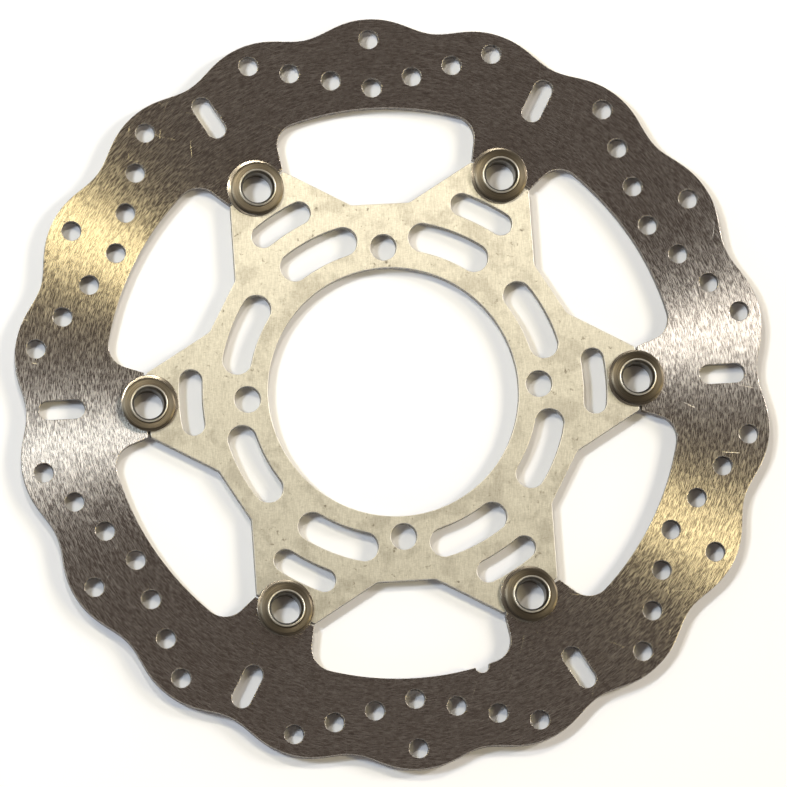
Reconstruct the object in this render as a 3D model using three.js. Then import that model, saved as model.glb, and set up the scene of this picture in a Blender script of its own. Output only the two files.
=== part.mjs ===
// Floating wave brake disc: a steel rotor ring held on an aluminium carrier by six floating buttons.
// Millimetres, +Z up. The disc lies flat, its axis on Z, with the button heads resting on Z = 0,
// and one button and one bolt hole lie on +X.

import * as THREE from 'three';

const DEG = Math.PI / 180;
const TURN = 2 * Math.PI;

// Driving dimensions
const BUTTONS = 6;
const BUTTON_PITCH = TURN / BUTTONS;
const BUTTON_CIRCLE_R = 87.2;
const POCKET_R = 6.45; // half-round seats in ring and carrier, which meet round each button

const PLATE_Z = 1.6; // underside of both plates, just clear of the button heads
const RING_T = 4;
const CARRIER_T = 4;

const RING = {
  peakR: 135,
  lobes: 18,
  waveDepth: 2.267,
  waveSharpness: 0.223,
  pointsPerLobe: 10,
  innerR: 102.6,
  earEndX: 88.2,
  earEndHalfWidth: 11.6,
  earFlare: 20 * DEG,
  earFillet: 8.25,
};
const VENT_R = 3.45;
const VENT_V = { innerR: 110, stepAcross: 14.55, stepOut: 3.33, stepsEachSide: 3 };
const RIM_VENT_R = 127.6;
const RADIAL_SLOT = { midR: 117.9, length: 16.4, width: 7 };
const INDEX_NOTCH = { window: 4, angle: 283.8 * DEG, r: 2.5 };

const CARRIER = {
  boreR: 44.7,
  armEndX: 87.2,
  armSideDistance: 53.5, // from the disc axis to the straight side of an arm
  valleyFlatDistance: 67.8, // from the disc axis to the flat between two arms
  valleyFillet: 2.5,
  armCornerFillet: 0.8,
};
const BOLT_HOLES = { count: 4, circleR: 52.05, r: 4.7 };
const LONG_SLOT = { midR: 56.65, halfWidth: 5.25, start: 14.7 * DEG, end: 34.4 * DEG };
const SHORT_SLOT = { midR: 72.15, halfWidth: 4.15, halfAngle: 6.1 * DEG };

const BOBBIN = {
  headR: 10.1,
  headT: 1.5,
  shankR: 6.2,
  boreR: 5.3,
  mouthR: 5.75,
  lipR: 6.65,
  topZ: 9.1,
  chamfer: 0.3,
};
const SPRING = { innerR: 7.2, outerR: 10.1, t: 0.4, waveHeight: 0.6, waves: 3, z: 5.65 };
const WASHER = { innerR: 6.35, outerR: 9.4, faceR: 8.7, t: 1.2, edgeT: 0.85, z: 6.7 };
// How far each loose spring washer has slid off its button's centre, in X and Y
const SPRING_SLIP = [[-0.4, 0], [-0.4, 0.2], [-0.6, 0.2], [0.4, 0.5], [-0.1, 0.3], [-0.8, 0.25]];

const ROUND_STEPS = 24; // facets round a button piece
const SPRING_STEPS = 8 * SPRING.waves;
const ARC_STEP = 15 * DEG;

const STEEL = { color: 0x5f5448, roughness: 0.42, metalness: 1 };
const ALUMINIUM = { color: 0xcdbf9f, roughness: 0.45, metalness: 1 };
const TURNED_STEEL = { color: 0x6e6557, roughness: 0.35, metalness: 1 };
const BRIGHT_STEEL = { color: 0xa89f8c, roughness: 0.25, metalness: 1 };

// Outline helpers. Points are THREE.Vector2 and angles are in radians.

const polar = (r, angle) => new THREE.Vector2(r * Math.cos(angle), r * Math.sin(angle));

function arc(centre, r, from, to, step = ARC_STEP) {
  const steps = Math.max(2, Math.ceil(Math.abs(to - from) / step));
  return Array.from({ length: steps + 1 }, (_, i) =>
    polar(r, from + ((to - from) * i) / steps).add(centre));
}

function circle(centre, r, steps) {
  return Array.from({ length: steps }, (_, i) => polar(r, (TURN * i) / steps).add(centre));
}

// Arc of radius r that rounds the corner at b, between the edges from a and to c
function fillet(a, b, c, r) {
  const toA = a.clone().sub(b).normalize();
  const toC = c.clone().sub(b).normalize();
  const half = Math.acos(toA.dot(toC)) / 2;
  const centre = toA.clone().add(toC).setLength(r / Math.sin(half)).add(b);
  const start = toA.multiplyScalar(r / Math.tan(half)).add(b).sub(centre).angle();
  const end = toC.multiplyScalar(r / Math.tan(half)).add(b).sub(centre).angle();
  const sweep = Math.atan2(Math.sin(end - start), Math.cos(end - start));
  return arc(centre, r, start, start + sweep);
}

const turned = (points, angle) =>
  points.map((p) => p.clone().rotateAround(new THREE.Vector2(), angle));

const mirroredAcross = (points) => points.map((p) => new THREE.Vector2(p.x, -p.y)).reverse();

// Point where the lines x cos(n) + y sin(n) = d of two normals meet
function lineMeeting(n1, d1, n2, d2) {
  const det = Math.sin(n2 - n1);
  return new THREE.Vector2(
    (d1 * Math.sin(n2) - d2 * Math.sin(n1)) / det,
    (d2 * Math.cos(n1) - d1 * Math.cos(n2)) / det);
}

// Slot that follows a circle about the disc axis, with round ends
function curvedSlot({ midR, halfWidth }, start, end) {
  const turnStep = 5 * DEG;
  return [
    ...arc(new THREE.Vector2(), midR + halfWidth, start, end, turnStep),
    ...arc(polar(midR, end), halfWidth, end, end + Math.PI, 2 * ARC_STEP).slice(1),
    ...arc(new THREE.Vector2(), midR - halfWidth, end, start, turnStep).slice(1),
    ...arc(polar(midR, start), halfWidth, start + Math.PI, start + TURN, 2 * ARC_STEP).slice(1, -1),
  ];
}

function plate(outline, holes, thickness) {
  const shape = new THREE.Shape(outline);
  shape.holes = holes.map((points) => new THREE.Path(points));
  const geometry = new THREE.ExtrudeGeometry(shape, { depth: thickness, bevelEnabled: false });
  return geometry.translate(0, 0, PLATE_Z);
}

// Ring turned about Z from a closed section of [radius, height] pairs
function turnedRing(section, steps) {
  const closed = [...section, section[0]].map(([r, z]) => new THREE.Vector2(r, z));
  return new THREE.LatheGeometry(closed, steps).rotateX(Math.PI / 2);
}

// Rotor ring

function waveOutline() {
  const { peakR, lobes, waveDepth, waveSharpness, pointsPerLobe } = RING;
  const meanR = peakR - waveDepth + waveSharpness;
  const count = lobes * pointsPerLobe;
  return Array.from({ length: count }, (_, i) => {
    const angle = (TURN * i) / count;
    const wave = -waveDepth * Math.cos(lobes * angle) - waveSharpness * Math.cos(2 * lobes * angle);
    return polar(meanR + wave, angle);
  });
}

// Upper side of the ear on +X, from its pocket out to the round inner edge, and the angle it meets it at
function earSide() {
  const { innerR, earEndX, earEndHalfWidth, earFlare, earFillet } = RING;
  const tip = new THREE.Vector2(earEndX, earEndHalfWidth);
  const along = polar(1, earFlare);
  const away = polar(1, earFlare + Math.PI / 2);
  const base = tip.clone().addScaledVector(away, earFillet);
  const reach = base.dot(along);
  const side = Math.sqrt(reach ** 2 + (innerR - earFillet) ** 2 - base.lengthSq()) - reach;
  const centre = base.clone().addScaledVector(along, side);
  const points = [tip, ...arc(centre, earFillet, earFlare - Math.PI / 2, centre.angle())];
  return { points, meetAngle: centre.angle() };
}

// Half-round pocket in the ear on +X, from its lower edge round to its upper one
function earPocket() {
  const gap = RING.earEndX - BUTTON_CIRCLE_R;
  const half = Math.acos(gap / POCKET_R);
  return arc(new THREE.Vector2(BUTTON_CIRCLE_R, 0), POCKET_R, -half, half);
}

// Round inner edge across one window, with the index notch where this window has it
function windowEdge(index, start, end) {
  const step = 3 * DEG;
  const axis = new THREE.Vector2();
  if (index !== INDEX_NOTCH.window) return arc(axis, RING.innerR, start, end, step);
  const { angle, r } = INDEX_NOTCH;
  const half = 2 * Math.asin(r / (2 * RING.innerR));
  const lean = Math.PI / 2 - half / 2;
  return [
    ...arc(axis, RING.innerR, start, angle - half, step),
    ...arc(polar(RING.innerR, angle), r, angle - lean, angle + lean, 2 * ARC_STEP).slice(1, -1),
    ...arc(axis, RING.innerR, angle + half, end, step),
  ];
}

function ringInnerOutline() {
  const side = earSide();
  const ear = [...mirroredAcross(side.points), ...earPocket(), ...side.points];
  const outline = [];
  for (let i = 0; i < BUTTONS; i++) {
    const angle = i * BUTTON_PITCH;
    const edge = windowEdge(i, angle + side.meetAngle, angle + BUTTON_PITCH - side.meetAngle);
    outline.push(...turned(ear, angle), ...edge.slice(1, -1));
  }
  return outline;
}

function ventHoles() {
  const { innerR, stepAcross, stepOut, stepsEachSide } = VENT_V;
  const centres = [new THREE.Vector2(RIM_VENT_R, 0)];
  for (let i = -stepsEachSide; i <= stepsEachSide; i++) {
    centres.push(new THREE.Vector2(innerR + stepOut * Math.abs(i), stepAcross * i));
  }
  return centres.map((centre) => circle(centre, VENT_R, 12));
}

function radialSlot() {
  const { midR, length, width } = RADIAL_SLOT;
  const reach = (length - width) / 2;
  const end = arc(new THREE.Vector2(midR + reach, 0), width / 2, -Math.PI / 2, Math.PI / 2, 2 * ARC_STEP);
  const start = arc(new THREE.Vector2(midR - reach, 0), width / 2, Math.PI / 2, 1.5 * Math.PI, 2 * ARC_STEP);
  return [...end, ...start];
}

function rotorRing() {
  const holes = [ringInnerOutline()];
  for (let i = 0; i < BUTTONS; i++) {
    const angle = i * BUTTON_PITCH;
    holes.push(turned(radialSlot(), angle));
    holes.push(...ventHoles().map((hole) => turned(hole, angle + BUTTON_PITCH / 2)));
  }
  return plate(waveOutline(), holes, RING_T);
}

// Carrier

// The arm on +X and the valley above it, counter-clockwise
function armOutline() {
  const { armEndX, armSideDistance, valleyFlatDistance, valleyFillet, armCornerFillet } = CARRIER;
  const upperSide = BUTTON_PITCH;
  const half = BUTTON_PITCH / 2;
  const tip = lineMeeting(0, armEndX, upperSide, armSideDistance);
  const valleyIn = lineMeeting(upperSide, armSideDistance, half, valleyFlatDistance);
  const valleyOut = lineMeeting(half, valleyFlatDistance, 0, armSideDistance);
  const nextTip = turned([new THREE.Vector2(tip.x, -tip.y)], BUTTON_PITCH)[0];
  const pocketEdge = new THREE.Vector2(armEndX, POCKET_R);
  const upperCorner = fillet(pocketEdge, tip, valleyIn, armCornerFillet);
  const pocketCentre = new THREE.Vector2(BUTTON_CIRCLE_R, 0);
  return [
    ...mirroredAcross(upperCorner),
    ...arc(pocketCentre, POCKET_R, -Math.PI / 2, -1.5 * Math.PI),
    ...upperCorner,
    ...fillet(tip, valleyIn, valleyOut, valleyFillet),
    ...fillet(valleyIn, valleyOut, nextTip, valleyFillet),
  ];
}

function carrier() {
  const arm = armOutline();
  const outline = [];
  const holes = [circle(new THREE.Vector2(), CARRIER.boreR, 72)];
  for (let i = 0; i < BUTTONS; i++) {
    const angle = i * BUTTON_PITCH;
    outline.push(...turned(arm, angle));
    holes.push(curvedSlot(SHORT_SLOT, angle - SHORT_SLOT.halfAngle, angle + SHORT_SLOT.halfAngle));
  }
  for (let i = 0; i < BOLT_HOLES.count; i++) {
    const angle = (TURN * i) / BOLT_HOLES.count;
    holes.push(circle(polar(BOLT_HOLES.circleR, angle), BOLT_HOLES.r, 20));
    holes.push(curvedSlot(LONG_SLOT, angle + LONG_SLOT.start, angle + LONG_SLOT.end));
    holes.push(curvedSlot(LONG_SLOT, angle - LONG_SLOT.end, angle - LONG_SLOT.start));
  }
  return plate(outline, holes, CARRIER_T);
}

// Button pieces, each about its own axis

// Hollow rivet: a flat head below, a shank through both plates, and a lip rolled over the top washer
function bobbin() {
  const { headR, headT, shankR, boreR, mouthR, lipR, topZ, chamfer } = BOBBIN;
  const seatZ = WASHER.z + WASHER.t + 0.05;
  const crestR = (mouthR + lipR) / 2;
  return turnedRing([
    [boreR + chamfer, 0],
    [headR - chamfer, 0],
    [headR, chamfer],
    [headR, headT - chamfer / 2],
    [headR - chamfer / 2, headT],
    [shankR, headT],
    [shankR, seatZ],
    [lipR, seatZ + chamfer],
    [lipR, topZ - chamfer],
    [crestR, topZ],
    [mouthR, topZ - chamfer],
    [boreR, topZ - 3 * chamfer],
    [boreR, chamfer],
  ], ROUND_STEPS);
}

function plateWasher() {
  const { innerR, outerR, faceR, t, edgeT, z } = WASHER;
  return turnedRing([
    [innerR, z],
    [outerR, z],
    [outerR, z + edgeT],
    [faceR, z + t],
    [innerR, z + t],
  ], ROUND_STEPS);
}

// Flat ring bent into waves, so that it bears on the plates at its low points
function waveSpring(slip) {
  const { innerR, outerR, t, waveHeight, waves, z } = SPRING;
  const geometry = turnedRing([[innerR, z], [outerR, z], [outerR, z + t], [innerR, z + t]], SPRING_STEPS);
  const position = geometry.attributes.position;
  for (let i = 0; i < position.count; i++) {
    const angle = Math.atan2(position.getY(i), position.getX(i));
    position.setZ(i, position.getZ(i) + (waveHeight / 2) * (1 - Math.cos(waves * angle)));
  }
  return geometry.translate(slip[0], slip[1], 0);
}

// Assembly

function named(name, geometry, finish) {
  const mesh = new THREE.Mesh(geometry, new THREE.MeshStandardMaterial(finish));
  mesh.name = name;
  return mesh;
}

function button(index) {
  const group = new THREE.Group();
  const centre = polar(BUTTON_CIRCLE_R, index * BUTTON_PITCH);
  const name = `button_${index + 1}`;
  group.add(
    named(`${name}_bobbin`, bobbin(), BRIGHT_STEEL),
    named(`${name}_plate_washer`, plateWasher(), TURNED_STEEL),
    named(`${name}_wave_spring`, waveSpring(SPRING_SLIP[index]), TURNED_STEEL));
  group.position.set(centre.x, centre.y, 0);
  return group;
}

const disc = new THREE.Group();
disc.add(named('rotor_ring', rotorRing(), STEEL));
disc.add(named('carrier', carrier(), ALUMINIUM));
for (let i = 0; i < BUTTONS; i++) disc.add(button(i));

export default disc;
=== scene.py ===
"""Floating wave brake disc, dressed for its picture.

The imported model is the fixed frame. This script replaces its faceted pieces with finely made ones in
the same places: a ground steel ring, a brushed aluminium carrier, and six hollow buttons, each with a
bobbin, a plate washer and a wave spring. Everything is in metres in the model's own frame, with the
disc lying flat and its axis on Z.
"""
import logging
import math
from dataclasses import dataclass, fields
from enum import Enum
from typing import Any, Callable, ClassVar, Iterable, Protocol, Sequence

import bpy
from mathutils import Matrix, Vector


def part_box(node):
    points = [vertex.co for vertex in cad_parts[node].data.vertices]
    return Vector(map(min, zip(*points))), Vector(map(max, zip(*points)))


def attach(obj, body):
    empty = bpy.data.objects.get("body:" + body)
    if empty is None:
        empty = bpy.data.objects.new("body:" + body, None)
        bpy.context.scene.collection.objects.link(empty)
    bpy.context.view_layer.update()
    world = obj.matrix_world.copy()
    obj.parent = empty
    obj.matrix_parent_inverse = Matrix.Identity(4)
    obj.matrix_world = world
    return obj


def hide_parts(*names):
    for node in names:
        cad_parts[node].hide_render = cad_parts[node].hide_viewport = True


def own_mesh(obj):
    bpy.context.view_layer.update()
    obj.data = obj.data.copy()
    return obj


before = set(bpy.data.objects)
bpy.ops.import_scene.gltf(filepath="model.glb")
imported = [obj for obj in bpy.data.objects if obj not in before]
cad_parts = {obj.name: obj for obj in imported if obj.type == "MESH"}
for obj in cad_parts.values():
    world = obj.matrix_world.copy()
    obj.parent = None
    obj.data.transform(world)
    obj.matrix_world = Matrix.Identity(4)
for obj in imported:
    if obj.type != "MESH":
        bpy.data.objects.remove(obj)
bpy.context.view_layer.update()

MM = 0.001
TURN = 2 * math.pi
BUTTON_COUNT = 6
BUTTON_PITCH = TURN / BUTTON_COUNT
BUTTON_CIRCLE = 87.2 * MM
POCKET_RADIUS = 6.45 * MM  # half-round seats in ring and carrier
WELD_DISTANCE = 1e-6
TINY = 1e-7  # separates a middle point from the points beside it
ACROSS = 0.25  # a quarter turn, so that highlights stretch across the tool marks
GEOMETRY = "GeometryNodeTree"
SHADER = "ShaderNodeTree"
TURNED_PLACE = "turned_place"  # attribute: where a point lies from its own piece's axis

Colour = tuple[float, float, float]
Outline = list[Vector]
log = logging.getLogger("brake_disc")


class Slot(Enum):
    """The record's material slots."""

    ROTOR = "rotor_steel"
    CARRIER = "carrier_aluminium"
    BOBBIN = "bobbin_steel"
    WASHER = "washer_steel"
    SPRING = "spring_steel"


class Zone(Enum):
    """Face attributes that the plate tree leaves for the finishes."""

    CUT_WALL = "cut_wall"
    ROUNDED_EDGE = "rounded_edge"


# ---------------------------------------------------------------------------------------------------
# Outlines
# ---------------------------------------------------------------------------------------------------


def polar(radius: float, angle: float) -> Vector:
    """Point at a radius and an angle from the origin."""
    return Vector((radius * math.cos(angle), radius * math.sin(angle)))


def arc(centre: Vector, radius: float, start: float, end: float, step: float) -> Outline:
    """Points along an arc.

    Args:
        centre: The arc's centre.
        radius: Its radius.
        start: Angle of its first point.
        end: Angle of its last point, which may be the smaller one.
        step: Largest angle between two points.

    Returns:
        The points, both ends included.
    """
    count = max(2, math.ceil(abs(end - start) / step))
    return [centre + polar(radius, start + (end - start) * i / count) for i in range(count + 1)]


def heading(vector: Vector) -> float:
    """Angle of a plane vector from +X."""
    return math.atan2(vector.y, vector.x)


def fillet(before: Vector, corner: Vector, after: Vector, radius: float, step: float) -> Outline:
    """Arc that rounds one corner of an outline.

    Args:
        before: Any point on the edge that comes into the corner.
        corner: The sharp corner.
        after: Any point on the edge that leaves it.
        radius: Radius of the rounding.
        step: Largest angle between two points.

    Returns:
        The arc's points, from the first edge to the second.
    """
    to_before = (before - corner).normalized()
    to_after = (after - corner).normalized()
    half = math.acos(max(-1.0, min(1.0, to_before.dot(to_after)))) / 2
    centre = corner + (to_before + to_after).normalized() * (radius / math.sin(half))
    reach = radius / math.tan(half)
    start = heading(corner + to_before * reach - centre)
    end = heading(corner + to_after * reach - centre)
    sweep = math.atan2(math.sin(end - start), math.cos(end - start))
    return arc(centre, radius, start, start + sweep, step)


def rounded(corners: Sequence[tuple[float, float, float]], step: float) -> Outline:
    """Closed outline with every corner rounded.

    Args:
        corners: Each corner as x, y and the radius of its rounding.
        step: Largest angle between two points of a rounding.

    Returns:
        The outline's points.
    """
    points: Outline = []
    for i, (x, y, radius) in enumerate(corners):
        before, after = corners[i - 1], corners[(i + 1) % len(corners)]
        points += fillet(Vector(before[:2]), Vector((x, y)), Vector(after[:2]), radius, step)
    return points


def turned(points: Iterable[Vector], angle: float) -> Outline:
    """The points turned about the origin."""
    turn = Matrix.Rotation(angle, 2)
    return [turn @ point for point in points]


def mirrored(points: Sequence[Vector]) -> Outline:
    """The points mirrored in the X axis, in reverse order."""
    return [Vector((point.x, -point.y)) for point in reversed(points)]


def line_meeting(normal_a: float, distance_a: float, normal_b: float, distance_b: float) -> Vector:
    """Point where two lines meet.

    Args:
        normal_a: Angle of the first line's normal.
        distance_a: Its distance from the origin.
        normal_b: Angle of the second line's normal.
        distance_b: Its distance from the origin.

    Returns:
        The point that both lines hold.
    """
    spread = math.sin(normal_b - normal_a)
    return Vector((
        (distance_a * math.sin(normal_b) - distance_b * math.sin(normal_a)) / spread,
        (distance_b * math.cos(normal_a) - distance_a * math.cos(normal_b)) / spread,
    ))


def outline_object(name: str, outline: Outline) -> bpy.types.Object:
    """Curve object that hands an outline to a geometry tree.

    Args:
        name: The object's name.
        outline: A closed outline in the XY plane.

    Returns:
        The curve object, linked to the scene.
    """
    curve = bpy.data.curves.new(name, "CURVE")
    curve.dimensions = "3D"
    spline = curve.splines.new("POLY")
    spline.points.add(len(outline) - 1)
    for point, place in zip(spline.points, outline):
        point.co = (place.x, place.y, 0.0, 1.0)
    spline.use_cyclic_u = True
    made = bpy.data.objects.new(name, curve)
    bpy.context.scene.collection.objects.link(made)
    return made


# ---------------------------------------------------------------------------------------------------
# Node trees
# ---------------------------------------------------------------------------------------------------

Feed = Any  # a Value to link from, a list of them, or a plain value to set


def as_sum(operation: str, swapped: bool = False) -> Callable[["Value", Feed], "Value"]:
    """Method of a Value that adds one Math node.

    Args:
        operation: The node's operation.
        swapped: Whether the other number comes first.

    Returns:
        The method.
    """
    if swapped:
        return lambda value, other: value.make.math(operation, other, value)
    return lambda value, other: value.make.math(operation, value, other)


@dataclass(frozen=True, eq=False)
class Value:
    """A node's output, which can be written in sums as a number is."""

    make: "TreeMaker"
    socket: bpy.types.NodeSocket

    __add__ = as_sum("ADD")
    __sub__ = as_sum("SUBTRACT")
    __rsub__ = as_sum("SUBTRACT", swapped=True)
    __mul__ = as_sum("MULTIPLY")
    __truediv__ = as_sum("DIVIDE")
    __rtruediv__ = as_sum("DIVIDE", swapped=True)
    __lt__ = as_sum("LESS_THAN")
    __gt__ = as_sum("GREATER_THAN")

    def __abs__(self) -> "Value":
        """The number without its sign."""
        return self.make.math("ABSOLUTE", self)


class TreeMaker:
    """Builds one node tree, step by step."""

    def __init__(self, tree: bpy.types.NodeTree) -> None:
        """Starts on a tree."""
        self.tree = tree

    def node(self, kind: str, feeds: dict[Any, Feed] | None = None, **settings: Any) -> bpy.types.Node:
        """Adds a node.

        Args:
            kind: The node's type name.
            feeds: What goes into its inputs, by the input's name or number.
            settings: The node's own properties.

        Returns:
            The new node.
        """
        made = self.tree.nodes.new(kind)
        for setting, value in settings.items():
            setattr(made, setting, value)
        for key, feed in (feeds or {}).items():
            self.feed(made.inputs[key], feed)
        return made

    def out(self, kind: str, feeds: dict[Any, Feed] | None = None, key: Any = 0, **settings: Any) -> Value:
        """Adds a node and returns the output of the given name or number."""
        return Value(self, self.node(kind, feeds, **settings).outputs[key])

    def feed(self, socket: bpy.types.NodeSocket, feed: Feed) -> None:
        """Links what it is given into an input, or sets the input to it.

        Args:
            socket: The input.
            feed: A Value, a list of them, or a plain value.
        """
        values = feed if isinstance(feed, list) else [feed]
        if isinstance(values[0], Value):
            for value in values:
                self.tree.links.new(value.socket, socket)
        else:
            socket.default_value = feed

    def math(self, operation: str, *feeds: Feed) -> Value:
        """Adds a Math node."""
        return self.out("ShaderNodeMath", dict(enumerate(feeds)), operation=operation)

    def vector(self, operation: str, *feeds: Feed) -> Value:
        """Adds a Vector Math node."""
        key = "Value" if operation == "LENGTH" else 0
        return self.out("ShaderNodeVectorMath", dict(enumerate(feeds)), key, operation=operation)

    def scale(self, vector: Feed, factor: Feed) -> Value:
        """Multiplies a vector by a number."""
        return self.out("ShaderNodeVectorMath", {0: vector, "Scale": factor}, operation="SCALE")

    def turn(self, vector: Feed, angle: Feed) -> Value:
        """Turns a vector about Z."""
        feeds = {"Vector": vector, "Angle": angle}
        return self.out("ShaderNodeVectorRotate", feeds, rotation_type="Z_AXIS")

    def combine(self, x: Feed = 0.0, y: Feed = 0.0, z: Feed = 0.0) -> Value:
        """Makes a vector of three numbers."""
        return self.out("ShaderNodeCombineXYZ", {0: x, 1: y, 2: z})

    def separate(self, vector: Feed) -> list[Value]:
        """Takes a vector apart into x, y and z."""
        return [Value(self, socket) for socket in self.node("ShaderNodeSeparateXYZ", {0: vector}).outputs]

    def ramp(self, value: Feed, low: Feed, high: Feed, to_low: float = 0.0, to_high: float = 1.0) -> Value:
        """Maps a range smoothly onto another one, clamped at both ends.

        Args:
            value: The number to map.
            low: Start of its range.
            high: End of its range.
            to_low: What the start becomes.
            to_high: What the end becomes.

        Returns:
            The mapped number.
        """
        feeds = {0: value, 1: low, 2: high, 3: to_low, 4: to_high}
        return self.out("ShaderNodeMapRange", feeds, interpolation_type="SMOOTHSTEP")

    def noise(self, place: Feed, scale: float = 1.0, **settings: float) -> Value:
        """Adds a noise texture.

        Args:
            place: Where it is read.
            scale: Its scale.
            settings: Its other inputs, such as detail and roughness.

        Returns:
            The noise, about 0.5 on average.
        """
        feeds = {"Vector": place, "Scale": scale} | {name.title(): value for name, value in settings.items()}
        return self.out("ShaderNodeTexNoise", feeds)

    def mix(self, factor: Feed, low: Feed, high: Feed) -> Value:
        """Blends two colours.

        Args:
            factor: How much of the second one shows.
            low: Colour at factor 0.
            high: Colour at factor 1.

        Returns:
            The blended colour.
        """
        low, high = ((*feed, 1.0) if isinstance(feed, tuple) else feed for feed in (low, high))
        return self.out("ShaderNodeMix", {0: factor, 6: low, 7: high}, 2, data_type="RGBA")

    def shift(self, curve: Feed, **feeds: Feed) -> Value:
        """Moves a geometry's points, by Offset or to Position, where Selection says so."""
        return self.out("GeometryNodeSetPosition", {"Geometry": curve} | feeds)

    def join(self, *parts: Value) -> Value:
        """Joins pieces of geometry into one."""
        return self.out("GeometryNodeJoinGeometry", {0: list(parts)})

    def use(self, group: Callable[[], bpy.types.NodeTree], feeds: dict[str, Feed]) -> Value:
        """Adds a group node of this tree's own kind.

        Args:
            group: Function that makes the group, which is made only once.
            feeds: What goes into its named inputs.

        Returns:
            The group's one output.
        """
        made = self.tree.nodes.new(self.tree.bl_idname.replace("Tree", "Group"))
        made.node_tree = shared_group(group)
        for key, feed in feeds.items():
            self.feed(made.inputs[key], feed)
        return Value(self, made.outputs[0])


@dataclass(frozen=True)
class Port:
    """A named input or output of a tree."""

    name: str
    kind: str = "Float"
    default: Any = None


class GroupMaker(TreeMaker):
    """Builds a tree that has named inputs and one output."""

    def __init__(self, name: str, kind: str, inputs: Sequence[Port | str], output: Port) -> None:
        """Makes the tree and its sockets.

        Args:
            name: The tree's name.
            kind: GEOMETRY or SHADER.
            inputs: Its inputs, where a plain name is a number's.
            output: Its output.
        """
        super().__init__(bpy.data.node_groups.new(name, kind))
        ports = [("INPUT", Port(port) if isinstance(port, str) else port) for port in inputs]
        for side, port in [*ports, ("OUTPUT", output)]:
            socket_type = f"NodeSocket{port.kind}"
            socket = self.tree.interface.new_socket(port.name, in_out=side, socket_type=socket_type)
            if port.default is not None:
                socket.default_value = port.default
        self._in = self.tree.nodes.new("NodeGroupInput")
        self._out = self.tree.nodes.new("NodeGroupOutput")

    def given(self, *names: str) -> Any:
        """The Value of a named input, or of each of several."""
        values = [Value(self, self._in.outputs[name]) for name in names]
        return values[0] if len(values) == 1 else values

    def finish(self, feed: Value) -> bpy.types.NodeTree:
        """Sends a Value to the tree's output and returns the tree."""
        self.feed(self._out.inputs[0], feed)
        return self.tree


_GROUPS: dict[str, bpy.types.NodeTree] = {}


def shared_group(make: Callable[[], bpy.types.NodeTree]) -> bpy.types.NodeTree:
    """The tree that a function makes, made only once.

    Args:
        make: Function that builds the tree.

    Returns:
        The tree.
    """
    if make.__name__ not in _GROUPS:
        _GROUPS[make.__name__] = make()
    return _GROUPS[make.__name__]


# ---------------------------------------------------------------------------------------------------
# Geometry trees
# ---------------------------------------------------------------------------------------------------

CURVE = Port("Curve", "Geometry")
MESH = Port("Mesh", "Geometry")
MATERIAL = Port("Material", "Material")


def around_axis_tree() -> bpy.types.NodeTree:
    """Tree that repeats curves evenly round the Z axis.

    Returns:
        The tree.
    """
    make = GroupMaker("Around the axis", GEOMETRY, [CURVE, Port("Count", "Int"), "First Angle"], CURVE)
    curve, count, first_angle = make.given("Curve", "Count", "First Angle")
    points = make.out("GeometryNodePoints", {"Count": count})
    angle = make.out("GeometryNodeInputIndex") * (TURN / count) + first_angle
    placed = make.out("GeometryNodeInstanceOnPoints", {
        "Points": points, "Instance": curve, "Rotation": make.combine(z=angle)})
    return make.finish(make.out("GeometryNodeRealizeInstances", {0: placed}))


def hole_tree() -> bpy.types.NodeTree:
    """Tree that draws one hole on +X, from a round hole to a straight or a curved slot.

    The half circle on the far side moves out by Radial Reach and the near one moves in. The halves on
    either side of the X axis turn away from each other by Half Angle, and the stretch between them
    follows two circles about the disc's axis.

    Returns:
        The tree.
    """
    inputs = ["Middle Radius", "End Radius", "Radial Reach", "Half Angle", Port("Steps", "Int", 32)]
    make = GroupMaker("Hole", GEOMETRY, inputs, CURVE)
    middle, end_radius, radial_reach, half_angle, steps = make.given(
        "Middle Radius", "End Radius", "Radial Reach", "Half Angle", "Steps")
    circle = make.out("GeometryNodeCurvePrimitiveCircle", {"Resolution": steps, "Radius": end_radius})
    x, y, _ = make.separate(make.out("GeometryNodeInputPosition"))
    far, side = ((axis > TINY) - (axis < -TINY) for axis in (x, y))
    out = x + middle + far * radial_reach
    slot = make.shift(circle, Position=make.turn(make.combine(out, y), side * half_angle))

    fine = make.out("GeometryNodeSubdivideCurve", {"Curve": slot, "Cuts": 3})
    is_curved = half_angle > TINY
    place = make.out("GeometryNodeInputPosition")
    x, y, _ = make.separate(place)
    angle = make.math("ARCTAN2", y, x)
    outer = make.math("SIGN", make.vector("LENGTH", place) - middle)
    radius = middle + outer * end_radius
    on_arc = make.combine(radius * make.math("COSINE", angle), radius * make.math("SINE", angle))
    bent = make.shift(fine, Selection=(abs(angle) < half_angle) * is_curved, Position=on_arc)
    chosen = make.out("GeometryNodeSwitch", {
        "Switch": is_curved, "False": slot, "True": bent}, input_type="GEOMETRY")
    return make.finish(make.out("GeometryNodeReverseCurve", {0: chosen}))


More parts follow.
